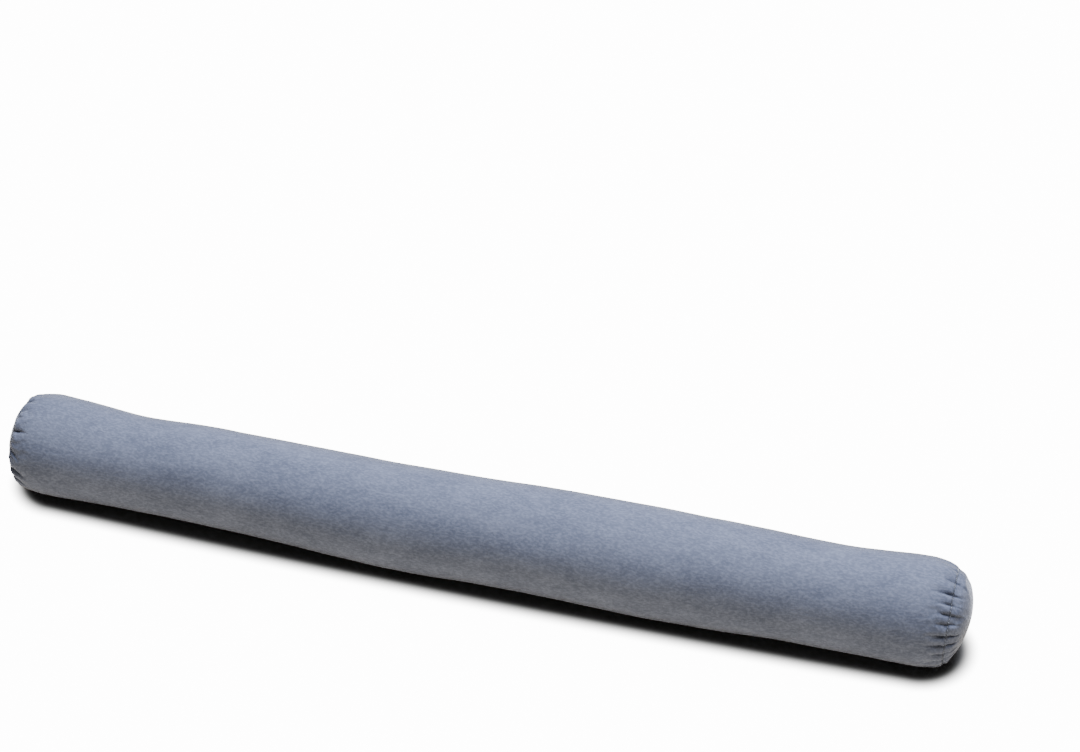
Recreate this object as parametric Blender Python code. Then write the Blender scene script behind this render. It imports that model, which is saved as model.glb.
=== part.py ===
"""Draught excluder: a long bolster of faux suede, filled and laid along the foot of a door.

Metres, +Z up. X runs along the bolster and -Y is its front. The origin is the middle of its
footprint, on the floor. Three filled solids meet at two gathered seams: the tube panel, and a
round end panel at each end.
"""

import math

import bpy
import numpy as np

LENGTH = 0.900  # tip to tip
LEFT_CROWN = 0.0135  # how far the filling pushes the left end panel out past its seam
RIGHT_CROWN = 0.018  # and the right one
SEAM_GAP = 0.0003  # between two pieces that meet
SEAM_RADIUS = 0.042  # the gathered seam is drawn in to this
SHOULDER = 0.034  # length over which the tube curves in to the seam
SETTLE = 0.003  # how far the filling lets the tube sink onto its flat underside
CROWN_ROUNDING = 0.67  # 1 is a paraboloid crown, 0.5 an ellipsoid
CROWN_LIFT = 0.25  # the crowns stand out more above their middle than below it

SEGMENTS = 90  # facets round the tube
MIDDLE_BANDS = 24  # rings of facets between the two shoulders
SHOULDER_BANDS = 7  # rings of facets on each shoulder
# an end panel's rings, as shares of its radius
CROWN_SHARES = (1.0, 0.97, 0.90, 0.78, 0.62, 0.42, 0.18)
PUCKER_WIDTH = math.radians(3.2)  # half width of a trough, as an angle round the seam
PEAK_STEPS = 101  # places at which a crown's highest point is looked for
SHARPEST_SMOOTH = math.radians(50)  # edges that turn more than this are shaded sharp

CLOTH_COLOUR = (0.205, 0.238, 0.310, 1.0)
CLOTH_ROUGHNESS = 0.95

SEAMS = {-1: LEFT_CROWN - LENGTH / 2, 1: LENGTH / 2 - RIGHT_CROWN}  # along the tube, by side

# The tube isn't an even cylinder: the filling has gathered and thinned along it.
# place along the tube, radius there, how far its middle stands aside (all in metres)
STATIONS = [
    (-0.432, 0.0485, 0.0015),
    (-0.385, 0.0470, 0.0015),
    (-0.335, 0.0445, 0.0020),
    (-0.260, 0.0455, 0.0015),
    (-0.200, 0.0465, 0.0000),
    (-0.120, 0.0475, -0.0040),
    (-0.040, 0.0485, -0.0050),
    (0.040, 0.0485, -0.0025),
    (0.120, 0.0495, -0.0030),
    (0.180, 0.0495, -0.0030),
    (0.240, 0.0485, -0.0010),
    (0.300, 0.0465, 0.0015),
    (0.340, 0.0465, 0.0020),
    (0.385, 0.0480, 0.0025),
    (0.432, 0.0485, 0.0035),
]

# The troughs of the gathers. Angles start at the front and go up over the top to the back.
# angle (degrees), reach along the tube, reach in over the end panel, depth (metres)
LEFT_PUCKERS = [
    (4, 0.020, 0.010, 0.0015),
    (17, 0.008, 0.008, 0.0011),
    (28, 0.012, 0.010, 0.0014),
    (40, 0.007, 0.008, 0.0012),
    (52, 0.013, 0.009, 0.0018),
    (68, 0.009, 0.006, 0.0011),
    (80, 0.009, 0.007, 0.0011),
    (97, 0.012, 0.009, 0.0013),
    (113, 0.010, 0.008, 0.0011),
    (131, 0.015, 0.010, 0.0015),
    (148, 0.010, 0.008, 0.0011),
    (164, 0.016, 0.011, 0.0014),
    (183, 0.012, 0.009, 0.0015),
    (201, 0.009, 0.008, 0.0011),
    (219, 0.017, 0.011, 0.0014),
    (238, 0.011, 0.009, 0.0013),
    (255, 0.014, 0.010, 0.0011),
    (272, 0.010, 0.009, 0.0013),
    (291, 0.016, 0.010, 0.0013),
    (314, 0.018, 0.012, 0.0015),
    (332, 0.010, 0.009, 0.0012),
    (348, 0.014, 0.010, 0.0014),
]
RIGHT_PUCKERS = [
    (4, 0.018, 0.014, 0.0015),
    (17, 0.014, 0.013, 0.0015),
    (32, 0.012, 0.009, 0.0013),
    (45, 0.011, 0.010, 0.0014),
    (57, 0.013, 0.006, 0.0014),
    (70, 0.018, 0.006, 0.0015),
    (88, 0.011, 0.007, 0.0011),
    (106, 0.009, 0.006, 0.0010),
    (122, 0.013, 0.009, 0.0013),
    (138, 0.010, 0.008, 0.0011),
    (155, 0.016, 0.010, 0.0015),
    (170, 0.009, 0.008, 0.0011),
    (187, 0.014, 0.010, 0.0014),
    (202, 0.011, 0.009, 0.0011),
    (219, 0.017, 0.011, 0.0015),
    (233, 0.010, 0.008, 0.0011),
    (250, 0.013, 0.010, 0.0013),
    (266, 0.009, 0.008, 0.0011),
    (283, 0.016, 0.010, 0.0014),
    (300, 0.012, 0.009, 0.0012),
    (318, 0.022, 0.012, 0.0015),
    (336, 0.011, 0.014, 0.0013),
    (351, 0.012, 0.014, 0.0013),
]


def section_at(along):
    """The tube's radius and its middle's sideways place, read smoothly between the stations."""
    at, radii, asides = np.array(STATIONS).T
    place = min(max(along, at[0]), at[-1])
    i = min(int(np.searchsorted(at, place, side="right")), len(at) - 1) - 1
    width = at[i + 1] - at[i]
    t = (place - at[i]) / width
    values = []
    for column in (radii, asides):
        slopes = np.gradient(column, at)
        values.append(
            (2 * t**3 - 3 * t**2 + 1) * column[i]
            + (t**3 - 2 * t**2 + t) * width * slopes[i]
            + (3 * t**2 - 2 * t**3) * column[i + 1]
            + (t**3 - t**2) * width * slopes[i + 1]
        )
    return values


def pucker_depths(puckers, distance, reach_column):
    """How deep the gathers cut at each angle round a ring this far from the seam."""
    angles = np.arange(SEGMENTS) * 2 * math.pi / SEGMENTS
    depths = np.zeros(SEGMENTS)
    for row in puckers:
        fade = max(0.0, 1 - distance / row[reach_column])
        turn = (angles - math.radians(row[0]) + math.pi) % (2 * math.pi) - math.pi
        depths += row[3] * fade * np.exp(-((turn / PUCKER_WIDTH) ** 2))
    return depths


def ring(along, aside, height, radii):
    """One closed section: SEGMENTS points from the front up over the top, never below the floor."""
    angles = np.arange(SEGMENTS) * 2 * math.pi / SEGMENTS
    y = aside - radii * np.cos(angles)
    z = np.maximum(height + radii * np.sin(angles), 0.0)
    x = np.broadcast_to(along, SEGMENTS)
    return np.column_stack((x, y, z))


def tube_rings():
    """The tube panel's sections, from the left seam to the right one."""
    near_seam = SHOULDER * (1 - np.cos(np.linspace(0, math.pi / 2, SHOULDER_BANDS + 1)))[:-1]
    middle = np.linspace(SEAMS[-1] + SHOULDER, SEAMS[1] - SHOULDER, MIDDLE_BANDS + 1)
    places = np.concatenate((SEAMS[-1] + near_seam, middle, SEAMS[1] - near_seam[::-1]))
    rings = []
    for along in places:
        radius, aside = section_at(along)
        side = -1 if along < 0 else 1
        distance = abs(SEAMS[side] - along)
        drawn_in = max(0.0, 1 - distance / SHOULDER)
        shoulder_radius = SEAM_RADIUS + (radius - SEAM_RADIUS) * math.sqrt(1 - drawn_in**2)
        puckers = LEFT_PUCKERS if side < 0 else RIGHT_PUCKERS
        radii = shoulder_radius - pucker_depths(puckers, distance, 1)
        short_of_seam = min(max(along, SEAMS[-1] + SEAM_GAP / 2), SEAMS[1] - SEAM_GAP / 2)
        rings.append(ring(short_of_seam, aside, radius - SETTLE, radii))
    return rings


def crown_out(side, share, sines):
    """How far a crown stands out past its seam, at this share of the radius from its middle."""
    steps = np.linspace(0, 1, PEAK_STEPS)
    peak = np.max((1 - steps**2) ** CROWN_ROUNDING * (1 + CROWN_LIFT * steps))
    domed = (1 - share**2) ** CROWN_ROUNDING * (1 + CROWN_LIFT * share * sines)
    crown = LENGTH / 2 - abs(SEAMS[side])
    return SEAM_GAP / 2 + (crown - SEAM_GAP / 2) * domed / peak


def crown_rings(side, puckers):
    """An end panel's sections, from its seam to the ring round the middle of its crown."""
    radius, aside = section_at(SEAMS[side])
    sines = np.sin(np.arange(SEGMENTS) * 2 * math.pi / SEGMENTS)
    rings = []
    for share in CROWN_SHARES:
        radii = share * SEAM_RADIUS - pucker_depths(puckers, (1 - share) * SEAM_RADIUS, 2)
        along = SEAMS[side] + side * crown_out(side, share, sines)
        rings.append(ring(along, aside, radius - SETTLE, radii))
    return rings


def loft(name, rings, first_pole, last_pole):
    """A closed solid through the rings, each end closed by a fan to its pole."""
    points = [tuple(first_pole)]
    points += [tuple(point) for section in rings for point in section]
    points.append(tuple(last_pole))
    last = len(points) - 1
    faces = []
    for i in range(SEGMENTS):
        j = (i + 1) % SEGMENTS
        faces.append((0, 1 + i, 1 + j))
        faces.append((last, last - SEGMENTS + j, last - SEGMENTS + i))
        for k in range(len(rings) - 1):
            a = 1 + k * SEGMENTS
            b = a + SEGMENTS
            faces.append((a + i, b + i, b + j, a + j))
    mesh = bpy.data.meshes.new(name)
    mesh.from_pydata(points, [], faces)
    mesh.validate()
    return mesh


def cloth_material(name):
    material = bpy.data.materials.new(name)
    material.use_nodes = True
    shader = material.node_tree.nodes["Principled BSDF"]
    shader.inputs["Base Color"].default_value = CLOTH_COLOUR
    shader.inputs["Roughness"].default_value = CLOTH_ROUGHNESS
    shader.inputs["Metallic"].default_value = 0.0
    return material


def add_piece(mesh, collection, aside):
    """Makes the mesh a smooth, separate piece, moved so that the origin is under its middle."""
    for vertex in mesh.vertices:
        vertex.co.y -= aside
    mesh.shade_smooth()
    mesh.set_sharp_from_angle(angle=SHARPEST_SMOOTH)
    mesh.materials.append(cloth_material(mesh.name))
    piece = bpy.data.objects.new(mesh.name, mesh)
    collection.objects.link(piece)


def end_panel(name, side, puckers):
    """A round end panel, from its flat face behind the seam to the tip of its crown."""
    rings = crown_rings(side, puckers)
    radius, aside = section_at(SEAMS[side])
    height = radius - SETTLE
    back = (SEAMS[side] + side * SEAM_GAP / 2, aside, height)
    tip = (SEAMS[side] + side * crown_out(side, 0.0, 0.0), aside, height)
    if side < 0:
        return loft(name, rings[::-1], tip, back)
    return loft(name, rings, back, tip)


def tube_panel(name):
    """The tube panel, closed by a flat face behind each seam."""
    ends = []
    for side in (-1, 1):
        radius, aside = section_at(SEAMS[side])
        ends.append((SEAMS[side] - side * SEAM_GAP / 2, aside, radius - SETTLE))
    return loft(name, tube_rings(), *ends)


def main():
    for old in list(bpy.data.objects):
        bpy.data.objects.remove(old, do_unlink=True)
    collection = bpy.data.collections.new("draught_excluder")
    bpy.context.scene.collection.children.link(collection)
    meshes = [
        tube_panel("tube_panel"),
        end_panel("end_panel_left", -1, LEFT_PUCKERS),
        end_panel("end_panel_right", 1, RIGHT_PUCKERS),
    ]
    across = [vertex.co.y for mesh in meshes for vertex in mesh.vertices]
    middle = (min(across) + max(across)) / 2
    for mesh in meshes:
        add_piece(mesh, collection, middle)


main()
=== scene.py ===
# %% [markdown]
# # A draught excluder
# A draught excluder is a long bolster that lies along the foot of a door. This one is a tube of
# faux suede with a round panel sewn into each end. The filling pushes the panels out, and the
# thread of each end seam is drawn up, so the cloth gathers into short puckers on both sides of it.
#
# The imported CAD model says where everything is. Its three solids stay as the frame that the
# cloth is fitted to, so the frame is loaded before anything else is made.

import math
import time

import bpy
import numpy as np
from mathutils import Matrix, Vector, noise


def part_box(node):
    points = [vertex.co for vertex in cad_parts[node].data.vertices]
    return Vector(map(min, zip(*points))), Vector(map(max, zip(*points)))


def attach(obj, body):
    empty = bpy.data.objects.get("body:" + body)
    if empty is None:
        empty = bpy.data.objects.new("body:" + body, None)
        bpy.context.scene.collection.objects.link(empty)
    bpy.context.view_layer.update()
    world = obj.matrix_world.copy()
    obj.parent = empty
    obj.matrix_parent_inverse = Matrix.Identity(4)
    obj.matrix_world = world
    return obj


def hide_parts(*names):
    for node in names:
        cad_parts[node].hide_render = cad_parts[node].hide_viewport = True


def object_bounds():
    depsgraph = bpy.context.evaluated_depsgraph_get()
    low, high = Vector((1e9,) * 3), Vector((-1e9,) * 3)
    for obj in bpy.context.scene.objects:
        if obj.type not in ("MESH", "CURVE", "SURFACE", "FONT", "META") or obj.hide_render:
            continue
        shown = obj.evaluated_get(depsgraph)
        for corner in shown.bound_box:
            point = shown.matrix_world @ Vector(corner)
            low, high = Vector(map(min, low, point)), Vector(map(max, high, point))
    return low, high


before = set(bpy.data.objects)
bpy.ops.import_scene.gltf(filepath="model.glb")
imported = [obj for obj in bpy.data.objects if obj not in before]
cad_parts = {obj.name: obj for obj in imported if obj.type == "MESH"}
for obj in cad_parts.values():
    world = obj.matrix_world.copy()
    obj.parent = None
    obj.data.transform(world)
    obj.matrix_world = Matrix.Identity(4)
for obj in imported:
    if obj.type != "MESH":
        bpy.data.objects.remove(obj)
cad_box = [list(corner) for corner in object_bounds()]
sides = [high - low for low, high in zip(*cad_box)]
print("frame box, mm:", [round(side * 1000, 1) for side in sides])

# %% [markdown]
# ## Where the tube runs
# The tube isn't an even cylinder: its filling has gathered in some places and thinned in others,
# and it lies in a slight bow. The frame's tube holds that shape as rings of points. Reading each
# ring's middle and radius gives a spine that the cloth can follow at any place in between.

# %% Measure the tube's sections
SHOULDER = 0.034  # the tube curves in to its seam over this length
NEAREST = 0.033  # no ring closer to a seam than this is measured
SAME_RING = 0.00002  # points this close along the tube belong to one ring


def points_of(mesh):
    """The mesh's points as rows of x, y and z."""
    flat = np.empty(len(mesh.vertices) * 3)
    mesh.vertices.foreach_get("co", flat)
    return flat.reshape(-1, 3)


def measured_sections(points, first, last):
    """Place, sideways middle, height of the middle and radius of each ring between two places."""
    rows = []
    for place in np.unique(np.round(points[:, 0], 5)):
        if not first < place < last:
            continue
        ring = points[np.abs(points[:, 0] - place) < SAME_RING]
        low, high = ring.min(axis=0), ring.max(axis=0)
        radius = (high[1] - low[1]) / 2
        rows.append((place, (low[1] + high[1]) / 2, high[2] - radius, radius))
    return rows


def end_section(points, side, settle):
    """The same four numbers at a seam, from the middle of the ring of points there."""
    ring = points[side * points[:, 0] > np.max(side * points[:, 0]) - SAME_RING]
    place, aside, height = np.unique(np.round(ring, 5), axis=0).mean(axis=0)
    return place, aside, height, height + settle


tube_points = points_of(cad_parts["tube_panel"].data)
solids = ("tube_panel", "end_panel_left", "end_panel_right")
tube_box, left_box, right_box = [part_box(name) for name in solids]
seams = {-1: (tube_box[0].x + left_box[1].x) / 2, 1: (tube_box[1].x + right_box[0].x) / 2}
crowns = {-1: seams[-1] - left_box[0].x, 1: right_box[1].x - seams[1]}
rows = measured_sections(tube_points, seams[-1] + NEAREST, seams[1] - NEAREST)
settle = float(np.mean([row[3] - row[2] for row in rows]))
rows = [end_section(tube_points, -1, settle), *rows, end_section(tube_points, 1, settle)]
sections = np.array(rows)


def section_at(place):
    """Sideways middle, height and radius at a place along the tube, smooth between the rings."""
    at = sections[:, 0]
    place = min(max(place, at[0]), at[-1])
    i = min(int(np.searchsorted(at, place, side="right")), len(at) - 1) - 1
    width = at[i + 1] - at[i]
    t = (place - at[i]) / width
    values = []
    for column in sections[:, 1:].T:
        slope = np.gradient(column, at)
        start = (2 * t**3 - 3 * t**2 + 1) * column[i] + (t**3 - 2 * t**2 + t) * width * slope[i]
        stop = (3 * t**2 - 2 * t**3) * column[i + 1] + (t**3 - t**2) * width * slope[i + 1]
        values.append(start + stop)
    return values


print(len(sections), "sections between the seams at", [round(place, 4) for place in seams.values()])
print("crowns, mm:", [round(out * 1000, 1) for out in crowns.values()])
print("radius, mm:", (sections[:, 3].min() * 1000).round(1), "to", (sections[:, 3].max() * 1000).round(1))
print("middle of the left and right seams:", sections[[0, -1], 1:3].round(4).tolist())

# %% [markdown]
# ## Cutting the ends
# A gather could be drawn as a row of grooves, but real puckers are never that even. They come
# from cloth that is longer than the thread that holds it. So each end is cut as its flat pattern,
# a straight tube closed by a flat disc, and the gathers are left to a cloth simulation. The
# pattern's points stand in rings, closest together near the seam, where the cloth folds.

# %% Cut the flat pattern of an end
AROUND = 216  # points in a ring
FINE_STEP = 0.00135  # between the rings near the seam
FINE_REACH = 0.016  # how far the fine rings go on each side of the seam
COARSER, COARSEST = 1.14, 0.009  # each step further on is this many times the last, up to this
DISC_COARSER, DISC_COARSEST = 1.12, 0.004
CROWDED = 0.55  # a disc ring has half the points once they stand this close, in steps
END_LENGTH = 0.110  # how much of the tube is simulated with the end
CLOTH_RADIUS = float(sections[-1, 3])
PULL = 0.004  # the flat disc starts this far out, because the filling draws the seam in
HUB = 0.006  # the disc's last ring before its middle point


def tube_distances():
    """How far each ring of the tube is from the seam, the seam's own ring first."""
    distances = list(np.arange(0, FINE_REACH, FINE_STEP))
    step = FINE_STEP
    while distances[-1] < END_LENGTH:
        step = min(step * COARSER, COARSEST)
        distances.append(distances[-1] + step)
    return distances


def disc_radii():
    """Radius and number of points of each ring of the disc, from its edge to its middle."""
    rings = []
    radius, count, step = CLOTH_RADIUS, AROUND, FINE_STEP
    while radius > HUB:
        radius -= step
        if radius < CLOTH_RADIUS - FINE_REACH:
            step = min(step * DISC_COARSER, DISC_COARSEST)
        if 2 * math.pi * radius / count < CROWDED * step and count % 2 == 0:
            count //= 2
        rings.append((radius, count))
    return rings


def angles_of(count):
    """Angles round a ring, from the front up over the top to the back."""
    return np.arange(count) * 2 * math.pi / count


def wrapped(turn):
    """The same turn between minus and plus half a circle."""
    return (turn + math.pi) % (2 * math.pi) - math.pi


def circle(place, radius, count, height):
    """A ring of the pattern. Nothing goes below the floor that the bolster lies on."""
    angles = angles_of(count)
    y = -radius * np.cos(angles)
    z = np.maximum(height + radius * np.sin(angles), 0.0)
    return np.column_stack((np.full(count, place), y, z))


def band(first, second):
    """Faces between two rings that run towards +X. Either may have half the points, or be a pole."""
    faces = []
    least, most = sorted((len(first), len(second)))
    for i in range(least if least > 1 else most):
        if len(first) == 1:
            faces.append((first[0], second[i], second[(i + 1) % most]))
        elif len(second) == 1:
            faces.append((second[0], first[(i + 1) % most], first[i]))
        elif len(first) == len(second):
            j = (i + 1) % most
            faces.append((first[i], second[i], second[j], first[j]))
        elif len(first) > len(second):
            j = (i + 1) % len(second)
            after = (2 * i + 2) % most
            faces.append((first[2 * i], second[i], first[2 * i + 1]))
            faces.append((first[2 * i + 1], second[i], second[j], first[after]))
        else:
            j = (i + 1) % len(first)
            after = (2 * i + 2) % most
            faces.append((first[i], second[2 * i], second[2 * i + 1]))
            faces.append((first[i], second[2 * i + 1], second[after], first[j]))
    return faces


def mesh_of(name, rings):
    """A mesh through rings of points that run towards +X."""
    mesh = bpy.data.meshes.new(name)
    numbers, start = [], 0
    for ring in rings:
        numbers.append(list(range(start, start + len(ring))))
        start += len(ring)
    faces = [face for a, b in zip(numbers, numbers[1:]) for face in band(a, b)]
    mesh.from_pydata(np.vstack(rings)[:, :3].tolist(), [], faces)
    return mesh, numbers


tube_places = tube_distances()
disc_places = disc_radii()
cloth_height = CLOTH_RADIUS - settle
pattern = [circle(PULL - d, CLOTH_RADIUS, AROUND, cloth_height) for d in reversed(tube_places)]
SEAM_RING = len(pattern) - 1
pattern += [circle(PULL, radius, count, cloth_height) for radius, count in disc_places]
pattern.append(np.array([(PULL, 0.0, cloth_height)]))
print(len(pattern), "rings,", sum(len(ring) for ring in pattern), "points in an end's pattern")

# %% [markdown]
# ## Starting the gathers
# Left alone, the simulation folds the cloth wherever its rounding errors fall. A maker spreads
# the gathers with a fingertip first. The tables say where each pucker starts, how far it runs
# over the tube and over the panel, how deep it is, and how far it leans as it leaves the seam.
# Angles start at the front and go up over the top to the back.

# %% Place the gathers
# degrees, reach over the tube, reach over the panel, depth (metres), lean (degrees)
LEFT_GATHERS = (
    (4, 0.020, 0.010, 0.0015, -12),
    (17, 0.008, 0.008, 0.0011, -6),
    (28, 0.012, 0.010, 0.0014, -10),
    (40, 0.007, 0.008, 0.0012, -4),
    (52, 0.013, 0.009, 0.0022, 0),
    (68, 0.009, 0.006, 0.0011, 0),
    (80, 0.009, 0.007, 0.0011, 3),
    (97, 0.012, 0.009, 0.0013, 0),
    (113, 0.010, 0.008, 0.0011, 5),
    (131, 0.015, 0.010, 0.0015, 0),
    (148, 0.010, 0.008, 0.0011, 0),
    (164, 0.016, 0.011, 0.0014, 6),
    (183, 0.012, 0.009, 0.0015, 0),
    (201, 0.009, 0.008, 0.0011, 0),
    (219, 0.017, 0.011, 0.0014, -5),
    (238, 0.011, 0.009, 0.0013, 0),
    (255, 0.014, 0.010, 0.0011, 0),
    (272, 0.010, 0.009, 0.0013, 4),
    (291, 0.016, 0.010, 0.0013, 0),
    (314, 0.018, 0.012, 0.0015, -4),
    (332, 0.010, 0.009, 0.0012, 0),
    (348, 0.014, 0.010, 0.0014, -8),
)
RIGHT_GATHERS = (
    (4, 0.018, 0.014, 0.0015, 3),
    (17, 0.014, 0.013, 0.0015, 2),
    (32, 0.012, 0.009, 0.0013, 0),
    (45, 0.011, 0.010, 0.0014, 0),
    (57, 0.013, 0.006, 0.0014, 0),
    (70, 0.018, 0.006, 0.0015, -2),
    (88, 0.011, 0.007, 0.0011, 0),
    (106, 0.009, 0.006, 0.0010, 0),
    (122, 0.013, 0.009, 0.0013, 4),
    (138, 0.010, 0.008, 0.0011, 0),
    (155, 0.016, 0.010, 0.0015, -4),
    (170, 0.009, 0.008, 0.0011, 0),
    (187, 0.014, 0.010, 0.0014, 0),
    (202, 0.011, 0.009, 0.0011, 3),
    (219, 0.017, 0.011, 0.0015, 0),
    (233, 0.010, 0.008, 0.0011, 0),
    (250, 0.013, 0.010, 0.0013, -3),
    (266, 0.009, 0.008, 0.0011, 0),
    (283, 0.016, 0.010, 0.0014, 0),
    (300, 0.012, 0.009, 0.0012, 4),
    (318, 0.022, 0.012, 0.0015, 5),
    (336, 0.011, 0.014, 0.0013, 4),
    (351, 0.012, 0.014, 0.0013, 3),
)
GATHER_WIDTH = math.radians(4)  # half width of a pucker at its start
GATHER_FADE = 0.65  # share of its reach over which a pucker fades
START_DEPTH = 1.4  # the simulation eases the puckers, so they start deeper
UNEVENNESS = 0.00008  # of the cloth between the puckers


def gather_depths(gathers, count, distance, on_tube):
    """How deep the puckers press at each point of a ring this far from the seam."""
    depths = np.zeros(count)
    for degrees, tube_reach, panel_reach, depth, lean in gathers:
        reach = tube_reach if on_tube else panel_reach
        leaning = lean * min(distance / reach, 1.0) if on_tube else 0.0
        turn = wrapped(angles_of(count) - math.radians(degrees + leaning))
        fade = math.exp(-((distance / (GATHER_FADE * reach)) ** 2))
        depths += depth * fade * np.exp(-((turn / GATHER_WIDTH) ** 2))
    return depths


def started(gathers, seed):
    """The pattern's rings with the gathers pressed in."""
    draw = np.random.default_rng(seed)
    rings = []
    for number, ring in enumerate(pattern[:-1]):
        on_tube = number <= SEAM_RING
        if on_tube:
            distance = tube_places[SEAM_RING - number]
        else:
            distance = CLOTH_RADIUS - disc_places[number - SEAM_RING - 1][0]
        depths = START_DEPTH * gather_depths(gathers, len(ring), distance, on_tube)
        depths += draw.normal(0, UNEVENNESS, len(ring))
        radius = CLOTH_RADIUS if on_tube else CLOTH_RADIUS - distance
        radii = radius - depths * radius / CLOTH_RADIUS
        rings.append(circle(ring[0, 0], radii, len(ring), cloth_height))
    rings.append(pattern[-1])
    return rings


print(len(LEFT_GATHERS), "gathers on the left,", len(RIGHT_GATHERS), "on the right")

# %% [markdown]
# ## Filling the ends
# Blender's Cloth does the sewing: pressure stands for the filling, and the seam ring's vertex
# group shrinks a little, as a thread drawn up does. The far end of the tube and the strip that
# lies on the floor are pinned. Gravity is off, because filling this tight hardly sags. The rest
# shape is the flat pattern, so the folds stay as deep as the spare cloth makes them.

# %% Draw up the thread
DRAWN_UP = 0.035  # share of the seam's length that the thread takes up
FILLING_PRESSURE = 12.0
SIMULATED_FRAMES = 25
CONTACT = 0.0002  # a point this low rests on the floor
PINNED_FROM_SEAM = 0.030  # the strip on the floor is pinned from here inwards


def set_up_cloth(piece, rest_key):
    """Adds the Cloth modifier with the numbers of a soft, thin pile cloth."""
    cloth = piece.modifiers.new("Filled cloth", "CLOTH")
    settings = cloth.settings
    settings.quality = 8
    settings.mass = 0.3
    settings.tension_stiffness = settings.compression_stiffness = 15
    settings.shear_stiffness = 5
    settings.bending_stiffness = 0.02
    settings.tension_damping = settings.compression_damping = settings.shear_damping = 5
    settings.bending_damping = 0.5
    settings.air_damping = 1
    settings.use_pressure = True
    settings.uniform_pressure_force = FILLING_PRESSURE
    settings.vertex_group_mass = "held"
    settings.vertex_group_shrink = "thread"
    settings.shrink_min = 0.0
    settings.shrink_max = DRAWN_UP
    settings.rest_shape_key = rest_key
    settings.effector_weights.gravity = 0
    cloth.collision_settings.use_collision = False
    cloth.point_cache.frame_start = 1
    cloth.point_cache.frame_end = SIMULATED_FRAMES


def filled(name, gathers, seed):
    """The rings of an end after its thread is drawn up and it is filled."""
    start = started(gathers, seed)
    mesh, numbers = mesh_of(name, pattern)
    piece = bpy.data.objects.new(name, mesh)
    bpy.context.scene.collection.objects.link(piece)
    rest_key = piece.shape_key_add(name="Basis")
    start_key = piece.shape_key_add(name="Gathers started")
    start_key.data.foreach_set("co", np.vstack(start).ravel())
    start_key.value = 1.0
    flat = points_of(mesh)
    on_floor = np.flatnonzero((flat[:, 2] < CONTACT) & (flat[:, 0] < PULL - PINNED_FROM_SEAM))
    held = piece.vertex_groups.new(name="held")
    held.add(numbers[0] + numbers[1] + on_floor.tolist(), 1.0, "REPLACE")
    thread = piece.vertex_groups.new(name="thread")
    thread.add(numbers[SEAM_RING], 1.0, "REPLACE")
    set_up_cloth(piece, rest_key)
    for number in range(1, SIMULATED_FRAMES + 1):
        bpy.context.scene.frame_set(number)
    evaluated = piece.evaluated_get(bpy.context.evaluated_depsgraph_get())
    points = points_of(evaluated.data)
    rings = [points[ring] for ring in numbers]
    bpy.data.objects.remove(piece)
    bpy.data.meshes.remove(mesh)
    return rings


began = time.time()
filled_ends = {
    -1: filled("left_end_cloth", LEFT_GATHERS, seed=3),
    1: filled("right_end_cloth", RIGHT_GATHERS, seed=5),
}
bpy.context.scene.frame_set(1)
print("both ends filled in", round(time.time() - began), "s")

# %% [markdown]
# ## Fitting the ends to the frame
# The simulated end is close to the frame's but not exactly it. Each ring is slid and scaled to
# the section that the frame has at that place, so the folds are kept and the size is right. The
# panel's rings take the height of the frame's crown in the same way. The seam itself is pulled
# nearly straight, as a row of machine stitches pulls it.

# %% Fit a filled end to the frame
SEAM_RADIUS = 0.0418  # the drawn-up seam
PEAK_STEPS = 101  # places at which a crown's highest point is looked for
CROWN_ROUNDING = {-1: 1.0, 1: 0.67}  # 1 is a paraboloid, 0.5 an ellipsoid
CROWN_LIFT = {-1: 0.0, 1: 0.25}  # how much further the crown stands out above its middle
STEEPEST_CROWN = 1.7  # a panel ring stands out at most this many times what the filling gave it
CALMED = 0.3  # share of the simulated folds' depth that the filling presses flat again
SLOW_WAVES = 6  # waves round a ring that belong to its shape and not to the folds
SLIDE_REACH = 0.060  # the tube's rings are slid less and less over this length
FRAME_SHARE = 0.5  # how far the shoulder's curve follows the frame rather than the simulation
STRAIGHTENED = 0.7  # share of the seam's waves that the stitching takes out
WAVE_REACH = 0.008


def crown_out(side, share, sines):
    """How far a crown stands out past its seam, at this share of the radius from its middle."""
    steps = np.linspace(0, 1, PEAK_STEPS)
    peak = np.max((1 - steps**2) ** CROWN_ROUNDING[side] * (1 + CROWN_LIFT[side] * steps))
    domed = (1 - share**2) ** CROWN_ROUNDING[side] * (1 + CROWN_LIFT[side] * share * sines)
    return crowns[side] * domed / peak


def calmed(values):
    """Values round a ring with their quick waves made lower."""
    waves = np.fft.rfft(values)
    waves[SLOW_WAVES + 1 :] *= 1 - CALMED
    return np.fft.irfft(waves, len(values))


def calmed_ring(ring):
    """A ring with its folds a little less deep."""
    if len(ring) == 1:
        return ring
    out_y, out_z = ring[:, 1], ring[:, 2] - cloth_height
    away = np.hypot(out_y, out_z)
    scale = calmed(away) / away
    return np.column_stack((calmed(ring[:, 0]), out_y * scale, cloth_height + out_z * scale))


def mean_radius(ring):
    """A ring's mean radius over its upper half, which the floor doesn't flatten."""
    upper = ring[: len(ring) // 2 + 1]
    return float(np.hypot(upper[:, 1], upper[:, 2] - cloth_height).mean())


def shoulder_radius(place, side, filled_radius, filled_seam):
    """The tube's radius where it curves in to a seam, between the frame's curve and the cloth's."""
    radius = section_at(place)[2]
    drawn_in = max(0.0, 1 - abs(seams[side] - place) / SHOULDER)
    framed = SEAM_RADIUS + (radius - SEAM_RADIUS) * math.sqrt(max(0.0, 1 - drawn_in**2))
    open_share = (filled_radius - filled_seam) / (CLOTH_RADIUS - filled_seam)
    natural = SEAM_RADIUS + (radius - SEAM_RADIUS) * min(open_share, 1.0)
    return FRAME_SHARE * framed + (1 - FRAME_SHARE) * natural


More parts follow.
